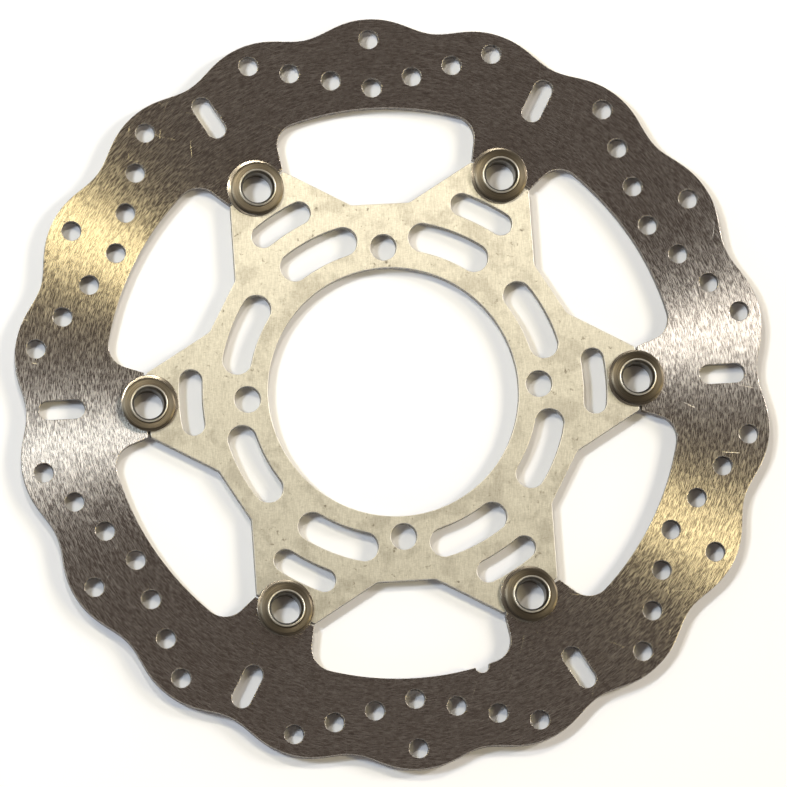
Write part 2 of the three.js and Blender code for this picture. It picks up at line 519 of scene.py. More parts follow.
def plate_tree() -> bpy.types.NodeTree:
    """Tree that cuts a plate with rounded edges out of its outlines.

    Outlines keep the material on their left. The two faces are filled from the outlines drawn in by
    the edge rounding, and a profile run along the outlines makes the walls between them.

    Returns:
        The tree.
    """
    steps_in = Port("Edge Steps", "Int", 3)
    inputs = [Port("Outlines", "Geometry"), "Bottom", "Thickness", "Edge Round", steps_in]
    make = GroupMaker("Plate", GEOMETRY, inputs, MESH)
    outlines, bottom, thickness, edge, steps = make.given(
        "Outlines", "Bottom", "Thickness", "Edge Round", "Edge Steps")
    tangent = make.out("GeometryNodeInputTangent")
    inward = make.vector("CROSS_PRODUCT", (0.0, 0.0, 1.0), tangent)
    face = make.out("GeometryNodeFillCurve", {0: make.shift(outlines, Offset=make.scale(inward, edge))})
    top, low = (make.out("GeometryNodeTransform", {
        "Geometry": face, "Translation": make.combine(z=level)}) for level in (bottom + thickness, bottom))
    under = make.out("GeometryNodeFlipFaces", {0: low})

    line = make.out("GeometryNodeMeshLine", {"Count": steps * 2.0 + 2.0})
    profile = make.out("GeometryNodeMeshToCurve", {0: line})
    index = make.out("GeometryNodeInputIndex")
    lower_half = index > steps + 0.5
    angle = (index - lower_half) / steps * (math.pi / 2)
    across = (make.math("SINE", angle) - 1.0) * edge
    rise = (1.0 - make.math("COSINE", angle)) * edge
    straight = lower_half * (thickness - edge * 2.0)
    down = 0.0 - (bottom + thickness) + rise + straight
    bent = make.shift(profile, Position=make.combine(across, down))
    upright = make.out("GeometryNodeSetCurveNormal", {"Curve": outlines}, mode="Z_UP")
    walls = make.out("GeometryNodeCurveToMesh", {"Curve": upright, "Profile Curve": bent})

    slope = abs(make.separate(make.out("GeometryNodeInputNormal"))[2])
    for zone, share in ((Zone.CUT_WALL, slope < 0.1), (Zone.ROUNDED_EDGE, slope > 0.1)):
        walls = make.out("GeometryNodeStoreNamedAttribute", {
            "Geometry": walls, "Name": zone.value, "Value": share}, data_type="FLOAT", domain="FACE")
    whole = make.join(top, under, walls)
    return make.finish(make.out("GeometryNodeMergeByDistance", {
        "Geometry": whole, "Distance": WELD_DISTANCE}))


def finish_tree(make: GroupMaker, mesh: Value) -> bpy.types.NodeTree:
    """Ends a main tree: real geometry, smooth shading and the given material.

    Args:
        make: The tree's maker, whose inputs hold a Material.
        mesh: The geometry so far.

    Returns:
        The finished tree.
    """
    real = make.out("GeometryNodeRealizeInstances", {0: mesh})
    smooth = make.out("GeometryNodeSetShadeSmooth", {"Geometry": real, "Shade Smooth": True})
    return make.finish(make.out("GeometryNodeSetMaterial", {
        "Geometry": smooth, "Material": make.given("Material")}))


def turned_piece_tree() -> bpy.types.NodeTree:
    """Main tree of a button piece: a section turned about its axis, with waves where it has them.

    The section is a closed outline whose X is the distance out from Mean Radius and whose Y is the
    height, measured down.

    Returns:
        The tree.
    """
    inputs = [
        MESH, Port("Section", "Object"), "Mean Radius", Port("Steps", "Int"), Port("Waves", "Int"),
        "Wave Height", Port("Centre", "Vector"), MATERIAL,
    ]
    make = GroupMaker("Turned piece", GEOMETRY, inputs, MESH)
    steps, mean_radius, waves, wave_height = make.given("Steps", "Mean Radius", "Waves", "Wave Height")
    circle = make.out("GeometryNodeCurvePrimitiveCircle", {"Resolution": steps, "Radius": mean_radius})
    upright = make.out("GeometryNodeSetCurveNormal", {"Curve": circle}, mode="Z_UP")
    section = make.out("GeometryNodeObjectInfo", {0: make.given("Section")}, "Geometry")
    ring = make.out("GeometryNodeCurveToMesh", {"Curve": upright, "Profile Curve": section})
    place = make.out("GeometryNodeInputPosition")
    x, y, _ = make.separate(place)
    phase = make.math("ARCTAN2", y, x) * waves
    lift = (1.0 - make.math("COSINE", phase)) * (wave_height * 0.5)
    waved = make.shift(ring, Offset=make.combine(z=lift))
    marked = make.out("GeometryNodeStoreNamedAttribute", {
        "Geometry": waved, "Name": TURNED_PLACE, "Value": place}, data_type="FLOAT_VECTOR", domain="POINT")
    placed = make.out("GeometryNodeTransform", {"Geometry": marked, "Translation": make.given("Centre")})
    return finish_tree(make, placed)


def made_by_tree(name: str, tree: bpy.types.NodeTree, values: dict[str, Any]) -> bpy.types.Object:
    """Runs a main tree once and keeps its result as a plain mesh.

    Args:
        name: Name of the finished piece.
        tree: The main tree.
        values: What its named inputs are set to. An outline's object is deleted afterwards.

    Returns:
        The piece, at the origin, with its place in its mesh and no modifier left.
    """
    piece = bpy.data.objects.new(name, bpy.data.meshes.new(f"{name}_blank"))
    bpy.context.scene.collection.objects.link(piece)
    modifier = piece.modifiers.new("made", "NODES")
    modifier.node_group = tree
    sockets = {item.name: item.identifier for item in tree.interface.items_tree
               if item.item_type == "SOCKET" and item.in_out == "INPUT"}
    for key, value in values.items():
        modifier[sockets[key]] = value
    graph = bpy.context.evaluated_depsgraph_get()
    mesh = bpy.data.meshes.new_from_object(piece.evaluated_get(graph))
    mesh.name = name
    while mesh.materials[0] is None:
        mesh.materials.pop(index=0)
    piece.modifiers.remove(modifier)
    blank, piece.data = piece.data, mesh
    bpy.data.meshes.remove(blank)
    for helper in values.values():
        if isinstance(helper, bpy.types.Object):
            curve = helper.data
            bpy.data.objects.remove(helper)
            bpy.data.curves.remove(curve)
    return piece


def hand_over(piece: bpy.types.Object, body: str, slot: Slot, node: str) -> None:
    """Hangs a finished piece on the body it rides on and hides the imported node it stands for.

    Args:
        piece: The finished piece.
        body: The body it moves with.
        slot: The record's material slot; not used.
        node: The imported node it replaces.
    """
    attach(piece, body)
    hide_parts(node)
    log.info("%s: %d faces, rides on %s", piece.name, len(piece.data.polygons), body)


# ---------------------------------------------------------------------------------------------------
# Finishes
# ---------------------------------------------------------------------------------------------------

PLACE = Port("Place", "Vector")
MASK = Port("Mask")


def round_lay_group() -> bpy.types.NodeTree:
    """Group of short marks that run round the Z axis.

    Returns:
        The group.
    """
    make = GroupMaker("Round lay", SHADER, [PLACE, "Radius", "Length", "Width", "Seed"], MASK)
    place, radius, length, width, seed = make.given("Place", "Radius", "Length", "Width", "Seed")
    x, y, z = make.separate(place)
    flat = make.combine(x, y)
    around = make.scale(make.vector("NORMALIZE", flat), radius / length)
    across = (make.vector("LENGTH", flat) + z) / width
    spot = make.vector("ADD", around, make.combine(z=across + seed))
    return make.finish(make.ramp(make.noise(spot, detail=2.0, roughness=0.6), 0.3, 0.7))


def straight_lay_group() -> bpy.types.NodeTree:
    """Group of short marks that run straight.

    Returns:
        The group.
    """
    make = GroupMaker("Straight lay", SHADER, [PLACE, "Angle", "Length", "Width", "Seed"], MASK)
    place, angle, length, width, seed = make.given("Place", "Angle", "Length", "Width", "Seed")
    x, y, z = make.separate(make.turn(place, angle * -1.0))
    spot = make.combine(x / length, y / width + seed, z / width)
    return make.finish(make.ramp(make.noise(spot, detail=2.0, roughness=0.6), 0.3, 0.7))


def blotch_group() -> bpy.types.NodeTree:
    """Group of soft patches, such as tarnish, oil or handling marks.

    Returns:
        The group.
    """
    make = GroupMaker("Blotches", SHADER, [PLACE, "Size", "Amount", "Seed"], MASK)
    place, size, amount, seed = make.given("Place", "Size", "Amount", "Seed")
    moved = make.vector("ADD", make.scale(place, 1.0 / size), make.combine(seed))
    noise = make.noise(moved, detail=5.0, roughness=0.62, distortion=0.3)
    start = 0.78 - amount * 0.5
    return make.finish(make.ramp(noise, start, start + 0.14))


def scratch_group() -> bpy.types.NodeTree:
    """Group of a few fine stray scratches, in two directions.

    Returns:
        The group.
    """
    make = GroupMaker("Stray scratches", SHADER, [PLACE, "Spacing", "Width", "Amount", "Seed"], MASK)
    place, spacing, width, amount, seed = make.given("Place", "Spacing", "Width", "Amount", "Seed")
    total: Feed = 0.0
    for number, angle in enumerate((0.35, 1.75)):
        scaled = make.scale(make.turn(place, angle), 1.0 / spacing)
        shifted = make.vector("ADD", scaled, make.combine(seed + 7.0 * number))
        bend = make.noise(shifted, 0.4, detail=0.0)
        line = make.math("FRACT", make.separate(shifted)[1] + bend)
        stroke = make.ramp(abs(line - 0.5), 0.0, width / spacing, 1.0, 0.0)
        limit = 0.85 - amount * 0.4
        where = make.ramp(make.noise(shifted, 1.6, detail=1.0), limit, limit + 0.06)
        total = make.math("MAXIMUM", total, stroke * where)
    return make.finish(total)


def cut_wall_group() -> bpy.types.NodeTree:
    """Group of the fine upright lines that cutting leaves on a plate's walls.

    Returns:
        The group.
    """
    make = GroupMaker("Cut wall", SHADER, [PLACE, "Spacing"], MASK)
    place, spacing = make.given("Place", "Spacing")
    drawn_up = make.vector("MULTIPLY", place, (1.0, 1.0, 0.12))
    noise = make.noise(make.scale(drawn_up, 1.0 / spacing), detail=1.5)
    return make.finish(make.ramp(noise, 0.35, 0.65))


@dataclass(frozen=True)
class Marks:
    """Size, relief and seed of a tool's fine marks."""

    length: float
    width: float
    depth: float
    seed: float


@dataclass(frozen=True)
class Patches:
    """Size, spread, strength and seed of soft patches."""

    size: float
    amount: float
    strength: float
    seed: float


class FinishMaker(TreeMaker):
    """Builds one metal material."""

    def __init__(self, slot: Slot) -> None:
        """Starts a new material named for its slot.

        Args:
            slot: The record's slot that the material fills.
        """
        self.material = bpy.data.materials.new(f"{slot.value}_finish")
        self.material.use_nodes = True
        self.material.node_tree.nodes.clear()
        super().__init__(self.material.node_tree)

    def blend(self, factor: Feed, low: Feed, high: Feed) -> Value:
        """Blends two numbers."""
        return self.out("ShaderNodeMix", {0: factor, 2: low, 3: high}, data_type="FLOAT")

    def layers(self, colour: Feed, *layers: tuple[Value, float, Feed]) -> Feed:
        """Lays colours over one another.

        Args:
            colour: The lowest one.
            layers: For each of the others its mask, its strength and the colour itself.

        Returns:
            The colour that shows.
        """
        for mask, strength, over in layers:
            colour = self.mix(mask * strength, colour, over)
        return colour

    def attribute(self, name: str, key: str) -> Value:
        """Reads one of the piece's own attributes."""
        return self.out("ShaderNodeAttribute", key=key, attribute_name=name)

    def round_marks(self, place: Value, radius: float, marks: Marks) -> Value:
        """Marks that run round Z, as long as they should be at the given radius."""
        return self.use(round_lay_group, {
            "Place": place, "Radius": radius, "Length": marks.length, "Width": marks.width,
            "Seed": marks.seed})

    def straight_marks(self, place: Value, angle: float, marks: Marks) -> Value:
        """Marks that run straight, at the given angle."""
        return self.use(straight_lay_group, {
            "Place": place, "Angle": angle, "Length": marks.length, "Width": marks.width,
            "Seed": marks.seed})

    def patches(self, place: Value, patches: Patches) -> Value:
        """Mask of soft patches."""
        return self.use(blotch_group, {
            "Place": place, "Size": patches.size, "Amount": patches.amount, "Seed": patches.seed})

    def metal(self, colour: Feed, roughness: Feed, relief: tuple[Feed, float], anisotropy: float,
              tangent: Feed) -> bpy.types.Material:
        """Ends the material with a metal shader.

        Args:
            colour: Its base colour.
            roughness: Its roughness.
            relief: The height of its fine relief, from 0 to 1, and how deep that is.
            anisotropy: How far its highlights stretch across the tool marks.
            tangent: Direction of the tool marks.

        Returns:
            The material.
        """
        height, depth = relief
        normal = self.out("ShaderNodeBump", {"Height": height, "Distance": depth, "Strength": 1.0})
        shader = self.out("ShaderNodeBsdfPrincipled", {
            "Base Color": colour, "Roughness": roughness, "Normal": normal, "Metallic": 1.0,
            "Anisotropic": anisotropy, "Anisotropic Rotation": ACROSS, "Tangent": tangent})
        self.node("ShaderNodeOutputMaterial", {"Surface": shader})
        return self.material

    def round_tangent(self) -> Value:
        """Direction of marks that run round Z."""
        return self.out("ShaderNodeTangent", direction_type="RADIAL", axis="Z")


class Finish(Protocol):
    """Anything that makes a material."""

    def build(self) -> bpy.types.Material:
        """Makes the material."""


@dataclass(frozen=True)
class GroundSteel:
    """The rotor ring's finish: dark warm steel, ground in short strokes that follow the ring."""

    low: Colour = (0.29, 0.255, 0.225)
    high: Colour = (0.86, 0.80, 0.71)
    tarnish: Colour = (0.40, 0.335, 0.27)
    # wall colour: the cut walls' darker tone, deepened into painted shade so that the walls inside the vents
    # read near-black
    wall: Colour = (0.05, 0.047, 0.05)
    worn: Colour = (0.88, 0.83, 0.72)
    track_radius: float = 118 * MM
    strokes: Marks = Marks(2.3 * MM, 0.21 * MM, 0.009 * MM, 0.0)
    fine: Marks = Marks(7.0 * MM, 0.12 * MM, 0.002 * MM, 40.0)
    fine_share: float = 0.35
    patches: Patches = Patches(26 * MM, 0.4, 0.35, 3.0)
    patch_roughness: float = 0.02
    scratch_spacing: float = 13 * MM
    scratch_width: float = 0.15 * MM
    scratch_amount: float = 0.66
    scratch_strength: float = 0.55
    scratch_roughness: float = 0.5
    scratch_depth: float = 1.5  # in depths of the strokes
    edge_wear: float = 0.15
    cut_line_spacing: float = 0.3 * MM
    dashes: tuple[float, float] = (0.44, 0.78)  # where in the grain the roughness changes
    roughness: tuple[float, float] = (0.22, 0.41)
    anisotropy: float = 1.0

    def build(self) -> bpy.types.Material:
        """Makes the material.

        Returns:
            The material.
        """
        make = FinishMaker(Slot.ROTOR)
        place = make.out("ShaderNodeTexCoord", key="Object")
        strokes, fine = (
            make.round_marks(place, self.track_radius, marks) for marks in (self.strokes, self.fine))
        grain = make.blend(self.fine_share, strokes, fine)
        patches = make.patches(place, self.patches)
        scratches = make.use(scratch_group, {
            "Place": place, "Spacing": self.scratch_spacing, "Width": self.scratch_width,
            "Amount": self.scratch_amount, "Seed": 5.0})
        lines = make.use(cut_wall_group, {"Place": place, "Spacing": self.cut_line_spacing})
        is_wall, is_edge = (make.attribute(zone.value, "Fac") for zone in Zone)
        colour = make.layers(
            make.mix(grain, self.low, self.high),
            (patches, self.patches.strength, self.tarnish),
            (scratches, self.scratch_strength, self.worn),
            (is_edge, self.edge_wear, self.worn),
            # on the cut walls, tool lines run between the wall colour, which is partly painted shade, and
            # the low steel colour
            (is_wall, 1.0, make.mix(lines, self.wall, self.low)))
        rough = make.blend(make.ramp(grain, *self.dashes), *self.roughness) + patches * self.patch_roughness
        rough = make.math("MAXIMUM", rough, scratches * self.scratch_roughness)
        height = make.blend(is_wall, grain - scratches * self.scratch_depth, lines)
        relief = (height, self.strokes.depth)
        return make.metal(colour, rough, relief, self.anisotropy, make.round_tangent())


@dataclass(frozen=True)
class BrushedAluminium:
    """The carrier's finish: pale champagne sheet with a straight brushed grain and a few stains."""

    low: Colour = (0.44, 0.415, 0.345)
    high: Colour = (0.63, 0.60, 0.51)
    stain: Colour = (0.17, 0.145, 0.11)
    # wall colour: the cut walls' duller tone, darkened further as painted shade that draws dark lines along
    # the edges of the openings
    wall: Colour = (0.20, 0.195, 0.21)
    worn: Colour = (0.93, 0.91, 0.86)
    angle: float = math.radians(86)
    brushing: Marks = Marks(2.6 * MM, 0.24 * MM, 0.004 * MM, 0.0)
    crossing: Marks = Marks(0.9 * MM, 0.26 * MM, 0.004 * MM, 60.0)
    crossing_share: float = 0.42
    clouds: Patches = Patches(10 * MM, 0.62, 0.27, 11.0)
    spots: Patches = Patches(2.4 * MM, 0.35, 0.8, 21.0)
    spot_roughness: float = 0.15
    edge_wear: float = 0.6
    cut_line_spacing: float = 0.35 * MM
    roughness: tuple[float, float] = (0.45, 0.55)
    anisotropy: float = 0.75

    def build(self) -> bpy.types.Material:
        """Makes the material.

        Returns:
            The material.
        """
        make = FinishMaker(Slot.CARRIER)
        place = make.out("ShaderNodeTexCoord", key="Object")
        brushing = make.straight_marks(place, self.angle, self.brushing)
        crossing = make.straight_marks(place, self.angle + math.pi / 2, self.crossing)
        grain = make.blend(self.crossing_share, brushing, crossing)
        clouds, spots = (make.patches(place, patches) for patches in (self.clouds, self.spots))
        lines = make.use(cut_wall_group, {"Place": place, "Spacing": self.cut_line_spacing})
        is_wall, is_edge = (make.attribute(zone.value, "Fac") for zone in Zone)
        colour = make.layers(
            make.mix(grain, self.low, self.high),
            (clouds, self.clouds.strength, self.stain),
            (spots, self.spots.strength, self.stain),
            (is_edge, self.edge_wear, self.worn),
            # on the cut walls, tool lines run between the wall colour, which is partly painted shade, and
            # the low colour
            (is_wall, 1.0, make.mix(lines, self.wall, self.low)))
        rough = make.blend(grain, *reversed(self.roughness)) + spots * self.spot_roughness
        relief = (make.blend(is_wall, grain, lines), self.brushing.depth)
        along = make.combine(math.cos(self.angle), math.sin(self.angle))
        return make.metal(colour, rough, relief, self.anisotropy, along)


@dataclass(frozen=True)
class TurnedSteel:
    """A button piece's finish: steel turned on a lathe, with fine rings, grime patches, and painted shade
    that darkens the bore and the funnel inside the lip.
    """

    slot: Slot
    low: Colour
    high: Colour
    roughness: tuple[float, float]
    anisotropy: float
    rings: Marks = Marks(9.0 * MM, 0.10 * MM, 0.003 * MM, 4.0)
    mean_radius: float = 8 * MM
    # colour of the grime patches, and of the painted shade in the bore
    grime: Colour = (0.10, 0.085, 0.07)
    patches: Patches = Patches(4.5 * MM, 0.4, 0.5, 9.0)
    patch_roughness: float = 0.12
    # how strongly the bore and the funnel inside the lip are darkened with painted shade
    bore_shade: float = 0.0
    bore_edge: tuple[float, float] = (5.9 * MM, 6.2 * MM)

    def build(self) -> bpy.types.Material:
        """Makes the material.

        Returns:
            The material.
        """
        make = FinishMaker(self.slot)
        place = make.attribute(TURNED_PLACE, "Vector")
        rings = make.round_marks(place, self.mean_radius, self.rings)
        patches = make.patches(place, self.patches)
        out = make.vector("LENGTH", make.vector("MULTIPLY", place, (1.0, 1.0, 0.0)))
        # painted shade: everything nearer the axis than the bore edge, the funnel and the bore, is darkened
        in_bore = make.ramp(out, *self.bore_edge, 1.0, 0.0)
        colour = make.layers(
            make.mix(rings, self.low, self.high),
            (patches, self.patches.strength, self.grime),
            (in_bore, self.bore_shade, self.grime))
        rough = make.blend(rings, *reversed(self.roughness)) + patches * self.patch_roughness
        return make.metal(colour, rough, (rings, self.rings.depth), self.anisotropy, make.round_tangent())


TURNED_FINISHES = (
    TurnedSteel(Slot.BOBBIN, (0.60, 0.55, 0.44), (0.88, 0.83, 0.70), (0.34, 0.44), 0.0,
                # the bobbin's bore and lip funnel get painted shade
                patches=Patches(4.5 * MM, 0.3, 0.5, 9.0), bore_shade=0.85),
    TurnedSteel(Slot.WASHER, (0.085, 0.07, 0.05), (0.18, 0.15, 0.105), (0.38, 0.46), 0.6),
    TurnedSteel(Slot.SPRING, (0.22, 0.19, 0.15), (0.38, 0.34, 0.28), (0.22, 0.36), 0.0),
)


# ---------------------------------------------------------------------------------------------------
# Plates
# ---------------------------------------------------------------------------------------------------


def levels(node: str) -> tuple[float, float]:
    """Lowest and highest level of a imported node."""
    low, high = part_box(node)
    return low[2], high[2]


def titled(name: str) -> str:
    """A field's name as an input's, such as Wave Depth for wave_depth."""
    return name.replace("_", " ").title()


@dataclass
class Plate:
    """A flat piece cut from sheet. Each number among its fields is an input of its tree."""

    name: ClassVar[str]
    node: ClassVar[str]
    body: ClassVar[str]
    slot: ClassVar[Slot]

    def edge(self) -> Outline:
        """The edge that is drawn point by point, with the material on its left."""
        raise NotImplementedError

    def outlines(self, make: GroupMaker, edge: Value) -> list[Value]:
        """Draws the rest of the plate's outlines in its tree.

        Args:
            make: The tree's maker.
            edge: The curve of the edge.

        Returns:
            The curves of all outlines.
        """
        raise NotImplementedError

    def build(self, finish: Finish) -> bpy.types.Object:
        """Makes the plate and hands it over.

        Args:
            finish: The plate's finish.

        Returns:
            The finished plate.
        """
        values = {titled(field.name): getattr(self, field.name) for field in fields(self)}
        sizes = {name: value for name, value in values.items() if isinstance(value, (int, float))}
        ports = [Port(name, "Int" if isinstance(size, int) else "Float") for name, size in sizes.items()]
        inputs = [MESH, Port("Edge", "Object"), "Bottom", "Thickness", *ports, MATERIAL]
        make = GroupMaker(titled(self.node), GEOMETRY, inputs, MESH)
        edge = make.out("GeometryNodeObjectInfo", {0: make.given("Edge")}, "Geometry")
        shared = {name: make.given(name) for name in ("Bottom", "Thickness", "Edge Round")}
        plate = make.use(plate_tree, {"Outlines": make.join(*self.outlines(make, edge)), **shared})
        bottom, top = levels(self.node)
        piece = made_by_tree(self.name, finish_tree(make, plate), {
            "Edge": outline_object(f"{self.node}_edge", self.edge()), "Bottom": bottom,
            "Thickness": top - bottom, "Material": finish.build(), **sizes})
        self.flatten_faces(piece.data)
        hand_over(piece, self.body, self.slot, self.node)
        return piece

    @staticmethod
    def flatten_faces(mesh: bpy.types.Mesh) -> None:
        """Gives the two faces flat shading that runs smoothly into the rounded edges.

        Args:
            mesh: The plate's mesh.
        """
        normals = [vertex.normal.copy() for vertex in mesh.vertices]
        for polygon in mesh.polygons:
            if abs(polygon.normal.z) > 0.999:
                for index in polygon.vertices:
                    normals[index] = Vector((0.0, 0.0, math.copysign(1.0, polygon.normal.z)))
        mesh.normals_split_custom_set_from_vertices(normals)


@dataclass(frozen=True)
class RingEdge:
    """The ring's inner edge: an ear with a half-round pocket for each button, and an index notch."""

    radius: float = 102.6 * MM
    ear_end: float = 88.2 * MM
    ear_end_half_width: float = 11.6 * MM
    ear_flare: float = math.radians(20)
    ear_fillet: float = 8.25 * MM
    notch_window: int = 4
    notch_angle: float = math.radians(283.8)
    notch_radius: float = 2.5 * MM
    step: float = math.radians(6)
    long_step: float = math.radians(0.6)
    notch_step: float = math.radians(8)

    def ear_side(self) -> tuple[Outline, float]:
        """Upper side of the ear on +X, from its pocket out to the round inner edge.

        Returns:
            The side's points, and the angle at which it meets the inner edge.
        """
        tip = Vector((self.ear_end, self.ear_end_half_width))
        along = polar(1, self.ear_flare)
        base = tip + polar(self.ear_fillet, self.ear_flare + math.pi / 2)
        reach = base.dot(along)
        middle = self.radius - self.ear_fillet
        side = math.sqrt(reach ** 2 + middle ** 2 - base.length_squared) - reach
        centre = base + along * side
        meets = heading(centre)
        curve = arc(centre, self.ear_fillet, self.ear_flare - math.pi / 2, meets, self.step)
        return [tip, *curve], meets

    def ear_pocket(self) -> Outline:
        """Half-round pocket in the ear on +X, from its lower edge round to its upper one."""
        half = math.acos((self.ear_end - BUTTON_CIRCLE) / POCKET_RADIUS)
        return arc(Vector((BUTTON_CIRCLE, 0)), POCKET_RADIUS, -half, half, self.step)

    def window(self, index: int, start: float, end: float) -> Outline:
        """Round inner edge across one window, with the index notch where this window has it.

        Args:
            index: Number of the window, from 0.
            start: Angle where the edge starts.
            end: Angle where it ends.

        Returns:
            The edge's points.
        """
        axis = Vector((0, 0))
        if index != self.notch_window:
            return arc(axis, self.radius, start, end, self.long_step)
        half = 2 * math.asin(self.notch_radius / (2 * self.radius))
        lean = math.pi / 2 - half / 2
        centre = polar(self.radius, self.notch_angle)
        notch = arc(centre, self.notch_radius, self.notch_angle - lean, self.notch_angle + lean,
                    self.notch_step)
        return [
            *arc(axis, self.radius, start, self.notch_angle - half, self.long_step),
            *notch[1:-1],
            *arc(axis, self.radius, self.notch_angle + half, end, self.long_step),
        ]

    def outline(self) -> Outline:
        """The whole inner edge, clockwise, with the material on its left.

        Returns:
            The edge's points.
        """
        side, meets = self.ear_side()
        ear = [*mirrored(side), *self.ear_pocket(), *side]
        points: Outline = []
        for index in range(BUTTON_COUNT):
            angle = index * BUTTON_PITCH
            points += turned(ear, angle)
            points += self.window(index, angle + meets, angle + BUTTON_PITCH - meets)[1:-1]
        return points[::-1]


@dataclass
class RotorRing(Plate):
    """The ground steel ring that the brake pads grip."""

    name: ClassVar[str] = "ground_rotor_ring"
    node: ClassVar[str] = "rotor_ring"
    body: ClassVar[str] = "rotor"
    slot: ClassVar[Slot] = Slot.ROTOR
    inner_edge: RingEdge = RingEdge()
    peak_radius: float = 135 * MM
    lobes: int = 18
    points_per_lobe: int = 26
    wave_depth: float = 2.267 * MM
    wave_sharpness: float = 0.223 * MM
    sectors: int = BUTTON_COUNT
    vent_radius: float = 3.45 * MM
    vent_inner_radius: float = 110 * MM
    vent_step_across: float = 14.55 * MM
    vent_step_out: float = 3.33 * MM
    vent_steps: int = 3
    rim_vent_distance: float = 127.6 * MM
    slot_middle_radius: float = 117.9 * MM
    slot_length: float = 16.4 * MM
    slot_width: float = 7 * MM
    vent_points: int = 32
    slot_points: int = 34
    edge_round: float = 0.18 * MM

    def edge(self) -> Outline:
        """The inner edge."""
        return self.inner_edge.outline()

    def rim(self, make: GroupMaker) -> Value:
        """The wavy rim: a circle drawn in between its lobes.

        Args:
            make: The tree's maker.

        Returns:
            The rim's curve.
        """
        lobes, depth, sharpness = make.given("Lobes", "Wave Depth", "Wave Sharpness")
        circle = make.out("GeometryNodeCurvePrimitiveCircle", {
            "Resolution": lobes * make.given("Points Per Lobe"), "Radius": make.given("Peak Radius")})
        place = make.out("GeometryNodeInputPosition")
        x, y, _ = make.separate(place)
        phase = make.math("ARCTAN2", y, x) * lobes
        first = depth * (make.math("COSINE", phase) + 1.0)
        second = sharpness * (1.0 - make.math("COSINE", phase * 2.0))
        return make.shift(circle, Offset=make.scale(make.vector("NORMALIZE", place), second - first))

    def outlines(self, make: GroupMaker, edge: Value) -> list[Value]:
        """Draws the rim, the vents and the radial slots.

        Args:
            make: The tree's maker.
            edge: The curve of the inner edge.

        Returns:
            The curves of all outlines.
        """
        sectors, steps, inner, across, outwards = make.given(
            "Sectors", "Vent Steps", "Vent Inner Radius", "Vent Step Across", "Vent Step Out")
        offset = make.out("GeometryNodeInputIndex") - steps
        row = make.out("GeometryNodePoints", {
            "Count": steps * 2.0 + 1.0,
            "Position": make.combine(inner + abs(offset) * outwards, offset * across)})
        rim_vent = make.out("GeometryNodePoints", {
            "Count": 1, "Position": make.combine(make.given("Rim Vent Distance"))})
        hole = make.use(hole_tree, {
            "End Radius": make.given("Vent Radius"), "Steps": make.given("Vent Points")})
        sector = make.out("GeometryNodeInstanceOnPoints", {
            "Points": make.join(row, rim_vent), "Instance": hole})
        vents = make.use(around_axis_tree, {
            "Curve": sector, "Count": sectors, "First Angle": math.pi / sectors})

        middle, length, width = make.given("Slot Middle Radius", "Slot Length", "Slot Width")
        slot = make.use(hole_tree, {
            "Middle Radius": middle, "End Radius": width * 0.5, "Radial Reach": (length - width) * 0.5,
            "Steps": make.given("Slot Points")})
        slots = make.use(around_axis_tree, {"Curve": slot, "Count": sectors})
        return [self.rim(make), edge, vents, slots]


@dataclass(frozen=True)
class StarEdge:
    """The carrier's outer edge: six arms with half-round pockets, and flat valleys between them."""

    arm_end: float = 87.2 * MM
    arm_side_distance: float = 53.5 * MM
    valley_flat_distance: float = 67.8 * MM
    valley_fillet: float = 2.5 * MM
    arm_corner_fillet: float = 0.8 * MM
    pocket_step: float = math.radians(6)
    corner_step: float = math.radians(10)

    def arm(self) -> Outline:
        """The arm on +X and the valley above it, counter-clockwise.

        Returns:
            Their points.
        """
        side, half = BUTTON_PITCH, BUTTON_PITCH / 2
        tip = line_meeting(0, self.arm_end, side, self.arm_side_distance)
        valley_in = line_meeting(side, self.arm_side_distance, half, self.valley_flat_distance)
        valley_out = line_meeting(half, self.valley_flat_distance, 0, self.arm_side_distance)
        next_tip = turned([Vector((tip.x, -tip.y))], BUTTON_PITCH)[0]
        pocket_edge = Vector((self.arm_end, POCKET_RADIUS))
        step = self.corner_step
        corner = fillet(pocket_edge, tip, valley_in, self.arm_corner_fillet, step)
        pocket = Vector((BUTTON_CIRCLE, 0))
        return [
            *mirrored(corner),
            *arc(pocket, POCKET_RADIUS, -math.pi / 2, -1.5 * math.pi, self.pocket_step),
            *corner,
            *fillet(tip, valley_in, valley_out, self.valley_fillet, step),
            *fillet(valley_in, valley_out, next_tip, self.valley_fillet, step),
        ]

    def outline(self) -> Outline:
        """The whole outer edge, counter-clockwise, with the material on its left."""
        arm = self.arm()
        return [point for index in range(BUTTON_COUNT) for point in turned(arm, index * BUTTON_PITCH)]


